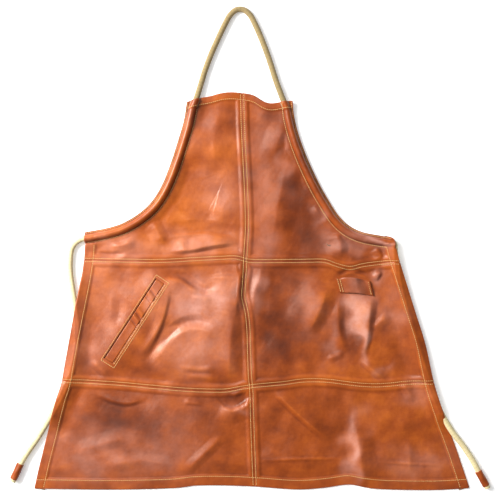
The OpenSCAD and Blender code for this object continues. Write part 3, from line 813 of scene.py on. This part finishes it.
def cut_window(piece):
    """Bisects the faces round the pocket along the window's four sides, and removes those inside."""
    cut = bmesh.new()
    cut.from_mesh(piece.data)
    cut.faces.ensure_lookup_table()
    centres = np.array([f.calc_center_median()[:2] for f in cut.faces]) / MM - POCKET_AT
    u, v = centres @ POCKET_U, centres @ POCKET_V
    near = np.flatnonzero((np.abs(u - 0.5 * (WINDOW[0] + WINDOW[1])) < 22) & (np.abs(v) < 104))
    faces = [cut.faces[i] for i in near]
    geometry = list({e for f in faces for e in f.edges} | {w for f in faces for w in f.verts}) + faces
    for axis, at in zip((POCKET_U, POCKET_U, POCKET_V, POCKET_V), WINDOW):
        place = (POCKET_AT + axis * at) * MM
        made = bmesh.ops.bisect_plane(
            cut, geom=geometry, plane_co=(*place, 0), plane_no=(*axis, 0), dist=1e-6)
        geometry = made["geom"]
    faces = [g for g in geometry if isinstance(g, bmesh.types.BMFace)]
    centres = np.array([f.calc_center_median()[:2] for f in faces]) / MM - POCKET_AT
    u, v = centres @ POCKET_U, centres @ POCKET_V
    inside = (u > WINDOW[0]) & (u < WINDOW[1]) & (v > WINDOW[2]) & (v < WINDOW[3])
    bmesh.ops.delete(cut, geom=[f for f, gone in zip(faces, inside) if gone], context="FACES")
    cut.to_mesh(piece.data)
    cut.free()


cut_window(panels["waist_panel_left"])


# Wrinkles across the welt: height, place along it and width.
WRINKLES = [
    (-2.6, 68, 2.2), (1.8, 60, 4), (-2.2, 52, 2.5), (1.6, 22, 4), (-2.8, 14, 2.2), (2.0, 6, 3.5),
    (-2.2, -3, 2.5),
]


def welt_height(x, y):
    """The welt lies under the window's edges and puffs up between them, with bell-shaped wrinkles
    that slant across it."""
    u, v = to_pocket(x, y)
    puff = step_up((9.9 - u) / 3.2) * step_up((97 - np.abs(v)) / 6)
    slanted = v + 0.35 * (u + 2)
    wrinkles = sum(h * np.exp(-(((slanted - at) / w) ** 2)) for h, at, w in WRINKLES)
    return lie(x, y) - 2.0 + puff * (3.4 + wrinkles * (1 - 0.4 * step_up((u - 2) / 6)))


u, v = np.meshgrid(np.linspace(-9.6, 13.5, 18), np.linspace(-99, 99, 130))
welt = leather_sheet("pocket_welt_strip", in_pocket(u, v), [("left", 0, 1, 0.9, 9)], welt_height)
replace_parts(thicken(welt, 1.2), "pocket_welt")
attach(welt, "apron")

# Each panel is thickened, takes the place of its CAD part, and is fixed to the apron.
for cad_node, piece in panels.items():
    thicken(piece)
    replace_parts(piece, cad_node)
    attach(piece, "apron")

BAG_OUTLINE = [
    (-193, 34), (-140, 37), (-86, 26), (-72, 0), (-72, -130), (-90, -164), (-272, -168),
    (-304, -138), (-193, 34),
]
outline = np.array(BAG_OUTLINE, float)
outline = np.vstack([np.linspace(a, b, 24, endpoint=False) for a, b in zip(outline[:-1], outline[1:])])
middle = outline.mean(axis=0)
share = np.concatenate([np.linspace(0, 0.86, 12)[1:], [0.9, 0.94, 0.97, 1.0]])
ring = middle + share[:, None, None] * (outline - middle)[None]
x, y = ring[..., 0].ravel(), ring[..., 1].ravel()
rise = step_up((np.repeat(share, len(outline)) - 0.84) / 0.14)
under_panel = np.maximum(lie(x, y) - THICK - 0.35 - 1.0, 0)
z = 0.3 + 0.35 * (1 + waves(x, y, 60, 6, 8)) + rise * under_panel
points = np.vstack([np.stack([x, y, z], axis=1), [[*middle, 0.6]]])
hub = len(points) - 1
n = len(outline)
fan = [[hub, i, (i + 1) % n] for i in range(n)]
faces = [f[::-1] for f in grid_faces(len(share), n, closed=True).tolist()] + fan
bag = new_piece("pocket_bag_suede", points, faces, tone=np.zeros(len(points)))
bag.data.materials.append(suede)
solid = bag.modifiers.new("thickness", "SOLIDIFY")
solid.thickness, solid.offset = 1.1 * MM, -1
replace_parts(bag, "pocket_bag")
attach(bag, "apron")

# ---------------------------------------------------------------- casings
# A strip of leather, the facing, sewn under each armhole edge along both its sides, flesh side
# down. It bellies down round the rope, which runs between it and the panel.
FACING_WIDTH = 23.5


def facing_height(line):
    """Height under a rope: the panel's underside at the two rows of stitches, near 0 at the rope."""
    def height(x, y):
        """The lower of the panel's underside and a half-round belly below the rope."""
        away = np.abs(from_line(x, y, line)[0])
        belly = np.sqrt(np.clip(1 - (away / 9.0) ** 2, 0, 1))
        sewn = lie(x, y) - THICK - 0.25
        under = np.minimum(sewn, 7.6 - 7.3 * belly + 1.2)
        return np.where(away < 9.0, np.minimum(under, sewn), np.minimum(sewn, 5.6))
    return height


for side, edge, hand in (("left", left_edge, -1), ("right", right_edge, 1)):
    route = np.array(casing_ropes[side])[:, :2]
    rope_line = smooth_line(route, 6.0)
    offsets = np.linspace(0.6, FACING_WIDTH, 20)
    plan = np.stack([beside(edge[9:-2], hand * d) for d in offsets], axis=1)
    facing = leather_sheet(
        "armhole_facing_strip_" + side, plan, [], facing_height(rope_line), (suede, suede, cut_edge))
    mesh = bmesh.new()
    mesh.from_mesh(facing.data)
    mesh.normal_update()
    if sum(f.normal.z * f.calc_area() for f in mesh.faces) > 0:
        bmesh.ops.reverse_faces(mesh, faces=mesh.faces)
    mesh.to_mesh(facing.data)
    mesh.free()
    solid = facing.modifiers.new("thickness", "SOLIDIFY")
    solid.thickness, solid.offset, solid.material_offset_rim = 1.2 * MM, -1, 2
    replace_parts(facing, "armhole_facing_" + side)
    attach(facing, "apron")

# ---------------------------------------------------------------- towel loop
# A short strap of doubled leather, sewn flat at both ends and raised between them.
# Its ends are cut askew, so its across direction isn't square to its length.
STRAP_AT, STRAP_TURN = np.array([205.0, 9.0]), np.radians(-5.5)
STRAP_L, STRAP_W, STRAP_RISE, HALF_THICK = 68.0, 30.0, 5.0, 1.3
STRAP_ROWS, STRAP_AROUND = 70, 40
axis_l = np.array([np.cos(STRAP_TURN), np.sin(STRAP_TURN)])
axis_w = np.array([-0.25, 0.968])
# A section is a rounded box, swept along t. The strap narrows and bows upwards at its middle, and
# its upper edge bulges.
t = np.linspace(-0.5, 0.5, STRAP_ROWS)
rise = STRAP_RISE * step_up((0.5 - np.abs(t)) / 0.34 - 0.35) ** 0.8
around = np.linspace(0, 2 * np.pi, STRAP_AROUND, endpoint=False)
square = np.abs(np.cos(around)) ** 0.25 * np.sign(np.cos(around))
flat = np.abs(np.sin(around)) ** 0.7 * np.sign(np.sin(around))
half_width = STRAP_W / 2 * (1 - 0.03 * np.cos(2 * np.pi * t))
bow = 1.8 * (0.5 - np.abs(t)) * 2
across = square[None] * half_width[:, None] + bow[:, None]
across += 3.0 * np.maximum(square, 0)[None] * (np.cos(np.pi * t) ** 2)[:, None]
middle_line = STRAP_AT + t[:, None] * STRAP_L * axis_l
plan = middle_line[:, None] + across[..., None] * axis_w
base = lie(middle_line[:, 0], middle_line[:, 1])
base = np.maximum(base.mean() + 0.2 * (base - base.mean()), base)
z = base[:, None] + HALF_THICK + rise[:, None] * (1 + 0.6 * square[None]) + HALF_THICK * flat[None]
z += 0.5 * waves(plan[..., 0], plan[..., 1], 26, 5, 21)
points = np.concatenate([plan, z[..., None]], axis=-1).reshape(-1, 3)
faces = grid_faces(STRAP_ROWS, STRAP_AROUND, closed=True).tolist()
last_ring = (STRAP_ROWS - 1) * STRAP_AROUND
faces += [list(range(STRAP_AROUND))[::-1], list(range(last_ring, last_ring + STRAP_AROUND))]
# The strap's tone is its own, a little darker, and across its middle it gets a band of painted sheen.
strap = new_piece(
    "towel_loop_strap", points, faces, tone=tone_and_painted_light(points[:, 0], points[:, 1]) - 0.2,
    bloom=0.5 * np.exp(-(((points[:, 0] - 208) / 18) ** 2)))
strap.data.materials.append(cognac)
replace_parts(strap, "towel_loop")
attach(strap, "apron")

# ---------------------------------------------------------------- tie ends
# A strip of leather wrapped round each tie's end and glued, with its two edges meeting in a
# small ridge. It is 34 mm long, and a few millimetres of bare rope stick out beyond it.
for side, route, path, rope in (
    ("left", TIE_LEFT_ROUTE, tie_left_path, tie_left),
    ("right", TIE_RIGHT_ROUTE, tie_right_path, tie_right),
):
    start, end = np.array(route[-2], float), np.array(route[-1], float)
    along = (end - start) / np.linalg.norm(end - start)
    s = np.linspace(-0.5, 33.5, 36)
    line = start + s[:, None] * along
    a = np.linspace(0, 2 * np.pi, 40, endpoint=False)[None]
    lip = 0.6 * (1 - step_up(np.minimum(s + 0.5, 33.5 - s) / 1.2))[:, None]
    ridge = 1.3 * np.exp(-((((a - 0.4 + np.pi) % (2 * np.pi)) - np.pi) / 0.16) ** 2)
    radius = 7.0 - lip + ridge + 0.18 * np.sin(3 * a + s[:, None] / 4)
    points, faces = tube(line, radius)
    sleeve = new_piece("tie_end_sleeve_" + side, points, faces, tone=np.full(len(points), -0.2))
    sleeve.data.materials.append(cognac)
    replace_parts(sleeve, "tie_tip_sleeve_" + side)
    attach(sleeve, "tie_" + side)
    tuple(np.array(route[1]) * MM)

# ---------------------------------------------------------------- stitches
# Thick waxed thread, pale gold, about one stitch in 4 mm. Each stitch is a small spindle that
# dips into the leather at both ends.
STITCH_PITCH, STITCH_LONG, STITCH_R = 4.0, 3.5, 0.66
thread, tree, shader = material("waxed gold thread", 0.5, Sheen_Weight=0.2)
colour = ramp(tree, noise(tree, 400, 3), [(0.3, (0.55, 0.28, 0.075)), (0.7, (0.78, 0.48, 0.17))])
tree.links.new(colour, shader.inputs["Base Color"])
bumped(tree, shader, noise(tree, 2500, 2, 0.5, (1, 1, 1)), 0.0002)


def thinned(line, step):
    """Every few points of a line, with both ends kept."""
    return np.vstack([line[:-1:step], line[-1:]])


def stitches(name, cad_node, lines, height=lie):
    """Rows of stitches along plan lines: a spindle of 6 by 5 points at each pitch, laid on the
    leather, with seeded turns of a few degrees."""
    r = np.random.default_rng(len(name))
    rows = [smooth_line(line, STITCH_PITCH) for line in lines]
    centre = np.vstack([0.5 * (row[1:] + row[:-1]) for row in rows])
    h = np.vstack([np.diff(row, axis=0) for row in rows])
    turn = np.arctan2(h[:, 1], h[:, 0]) + r.normal(0.05, 0.05, len(h))
    axis = np.stack([np.cos(turn), np.sin(turn)], axis=1)
    side = np.stack([-axis[:, 1], axis[:, 0]], axis=1)
    a = np.array([-1, -0.62, 0, 0.62, 1])
    thick = STITCH_R * np.array([0.45, 0.9, 1.0, 0.9, 0.45])
    sink = 0.42 * a**4
    ring = np.linspace(0, 2 * np.pi, 6, endpoint=False)
    plan = centre[:, None, None] + (a * STITCH_LONG / 2)[None, :, None, None] * axis[:, None, None]
    on = height(plan[:, :, 0, 0], plan[:, :, 0, 1])
    plan = plan + (thick[:, None] * np.cos(ring))[None, ..., None] * side[:, None, None]
    z = (on + 0.18 - sink[None])[..., None] + (thick[:, None] * np.sin(ring))[None]
    points = np.concatenate([plan, z[..., None]], axis=-1).reshape(-1, 3)
    one = grid_faces(5, 6, closed=True)
    caps = [list(range(6))[::-1], list(range(24, 30))]
    count = len(centre)
    quads = (one[None] + 30 * np.arange(count)[:, None, None]).reshape(-1, 4).tolist()
    ends = [[30 * i + k for k in cap] for i in range(count) for cap in caps]
    piece = new_piece(name, points, quads + ends)
    piece.data.materials.append(thread)
    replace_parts(piece, cad_node)
    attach(piece, "apron")
    return piece


def seam_row(y_at, w):
    """Row beside a seam across the apron, from one side edge to the other."""
    return thinned(across_line(y_at, left_x(y_at(-350.0)) + 2, right_x(y_at(320.0)) - 2, w), 8)


stitches("centre_seam_stitches", "thread_centre_seam", [
    thinned(down_line(centre_x, -387.0, top_y(-20.0) - 3, w), 8) for w in (-ROW, ROW)])
stitches("waist_seam_stitches", "thread_waist_seam", [seam_row(waist_y, w) for w in (-ROW, ROW)])
stitches("skirt_seam_stitches", "thread_skirt_seam", [seam_row(skirt_y, w) for w in (-ROW, ROW)])
stitches("top_hem_stitches", "thread_top_hem", [thinned(across_line(top_y, -129, 80, -TOP_ROW), 8)])
for side, x_at, inwards, top_end in (("left", left_x, 1, 93.0), ("right", right_x, -1, 86.0)):
    stitches("side_hem_stitches_" + side, "thread_side_hem_" + side, [
        thinned(down_line(x_at, -392.0, top_end, inwards * HEM_ROW), 8)])
stitches("bottom_hem_stitches", "thread_bottom_hem", [
    thinned(across_line(bottom_y, left_x(-378.0) + 2, right_x(-378.0) - 2, HEM_ROW), 8)])
right_row = smooth_line([*ARMHOLE_RIGHT, (273, 109), (280, 106)])
for side, edge, hand in (("left", left_edge, -1), ("right", right_row, 1)):
    stitches("armhole_stitches_" + side, "thread_armhole_" + side, [
        thinned(beside(edge, hand * 2.6)[1:-1], 6), thinned(beside(edge, hand * 21.5)[1:-1], 6)])
frame_row = [in_pocket(np.array(u), np.array(v)) for u, v in (
    ((-15, -15), (-101, 101)), ((-15, 15), (101, 101)), ((15, 15), (101, -101)), ((15, -15), (-101, -101)),
    ((11, 11), (-95, 95)))]
stitches("pocket_stitches", "thread_pocket", frame_row)


def strap_top(x, y):
    """Height of the sewn ends of the strap."""
    return np.interp((np.stack([x, y], axis=-1) - STRAP_AT) @ axis_l, t * STRAP_L, base + rise) + 2.6


rows = []
for at in (-31.5, -26.5, 30.0):
    rows.append(np.array([STRAP_AT + at * axis_l + w * axis_w for w in (-13.5, 0, 13.5)]))
stitches("towel_loop_stitches", "thread_towel_loop", rows, height=strap_top)

# ---------------------------------------------------------------- table and light
# A plain white table top in soft daylight that comes from the upper left: one sun high up, one
# lower, and a window close to the apron, under an even pale surround.
TABLE_REACH = 40
table = bpy.data.objects.new("table", bpy.data.meshes.new("table"))
corners = [(TABLE_REACH * i, TABLE_REACH * j, 0) for i, j in ((-1, -1), (1, -1), (1, 1), (-1, 1))]
table.data.from_pydata(corners, [], [(0, 1, 2, 3)])
bpy.context.scene.collection.objects.link(table)
white, tree, shader = material("white table", 0.9)
shader.inputs["Base Color"].default_value = (0.92, 0.92, 0.92, 1)
shader.inputs["Specular IOR Level"].default_value = 0.1
shader.inputs["Emission Color"].default_value = (1, 1, 1, 1)
shader.inputs["Emission Strength"].default_value = 0.35
table.data.materials.append(white)


def soft_light(name, place, aim, size, power, kind="AREA"):
    """Light at place that faces aim: a square of that size, or a sun whose disc is size radians."""
    data = bpy.data.lights.new(name, kind)
    data.energy = power
    if kind == "SUN":
        data.angle = size
    else:
        data.size = size
    made = bpy.data.objects.new(name, data)
    made.location = place
    made.rotation_euler = (Vector(aim) - Vector(place)).to_track_quat("-Z", "Y").to_euler()
    bpy.context.scene.collection.objects.link(made)


soft_light("daylight", (-1.0, 0.6, 2.4), (0, 0, 0), 0.5, 0.8, "SUN")
soft_light("low_daylight", (-1.7, 0.9, 1.6), (0, 0, 0), 0.4, 2.5, "SUN")
soft_light("window", (-1.2, 0.65, 0.9), (-0.15, 0.1, 0), 0.6, 30)
world = bpy.data.worlds.new("surround")
bpy.context.scene.world = world
world.use_nodes = True
world.node_tree.nodes["Background"].inputs["Color"].default_value = (1, 1, 1, 1)
world.node_tree.nodes["Background"].inputs["Strength"].default_value = 0.18
bpy.context.scene.view_settings.view_transform = "Standard"
